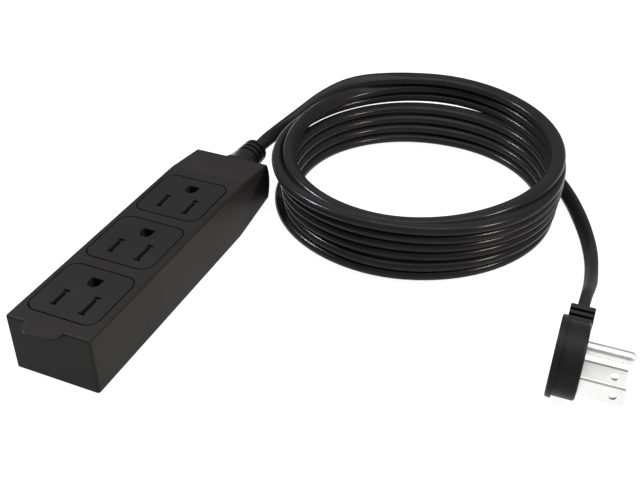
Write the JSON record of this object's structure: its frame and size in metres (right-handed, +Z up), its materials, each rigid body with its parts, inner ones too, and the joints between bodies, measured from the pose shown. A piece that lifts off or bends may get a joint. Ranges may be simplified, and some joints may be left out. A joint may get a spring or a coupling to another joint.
{
  "type": "surge protector power strip",
  "caption": "Slim power strip with grounded outlets and surge board, ribbed strain relief, coiled flat cord and a low round angled plug with blades and ground pin.",
  "frame": {"origin": "under the middle of the strip, without its cord, on the surface it stands on", "axes": "+Y along the strip towards its cord, +Z up out of the outlet faces, +X to the right"},
  "size_m": [0.2071, 0.2401, 0.0343],
  "materials": {
    "housing_black": "fine satin moulded",
    "face_black": "fine satin moulded",
    "cord_black": "smooth satin jacket",
    "plug_black": "fine satin moulded",
    "carrier_grey": "moulded insulating plastic",
    "board_green": "solder mask",
    "varistor_blue": "dipped coating",
    "fuse_white": "ceramic body",
    "contact_brass": "stamped",
    "nickel": "nickel plated",
    "screw_steel": "zinc plated",
    "core_black": "wire insulation",
    "core_white": "wire insulation",
    "core_green": "wire insulation"
  },
  "bodies": {
    "root": {"base_cover": "housing_black", "base_screws": "screw_steel", "clamp_screws": "screw_steel", "contact_carrier": "carrier_grey", "cord_clamp": "carrier_grey", "cord_coil": "cord_black", "cord_inner_end": "cord_black", "cord_plug_end": "cord_black", "cord_to_coil": "cord_black", "cord_to_plug": "cord_black", "ground_bus_bar": "contact_brass", "ground_contact_clips": "contact_brass", "ground_lead": "core_green", "ground_pin": "nickel", "line_blade": "nickel", "line_bus_bar": "contact_brass", "line_contact_clips": "contact_brass", "line_lead": "core_black", "neutral_blade": "nickel", "neutral_bus_bar": "contact_brass", "neutral_contact_clips": "contact_brass", "neutral_lead": "core_white", "outlet_face_1": "face_black", "outlet_face_2": "face_black", "outlet_face_3": "face_black", "plug_back_grip": "plug_black", "plug_body": "plug_black", "plug_core": "carrier_grey", "plug_ground_lead": "core_green", "plug_line_lead": "core_black", "plug_neutral_lead": "core_white", "plug_strain_relief": "plug_black", "strain_relief": "cord_black", "surge_board": "board_green", "surge_varistors": "varistor_blue", "thermal_fuse": "fuse_white", "top_cover": "housing_black"}
  },
  "joints": []
}
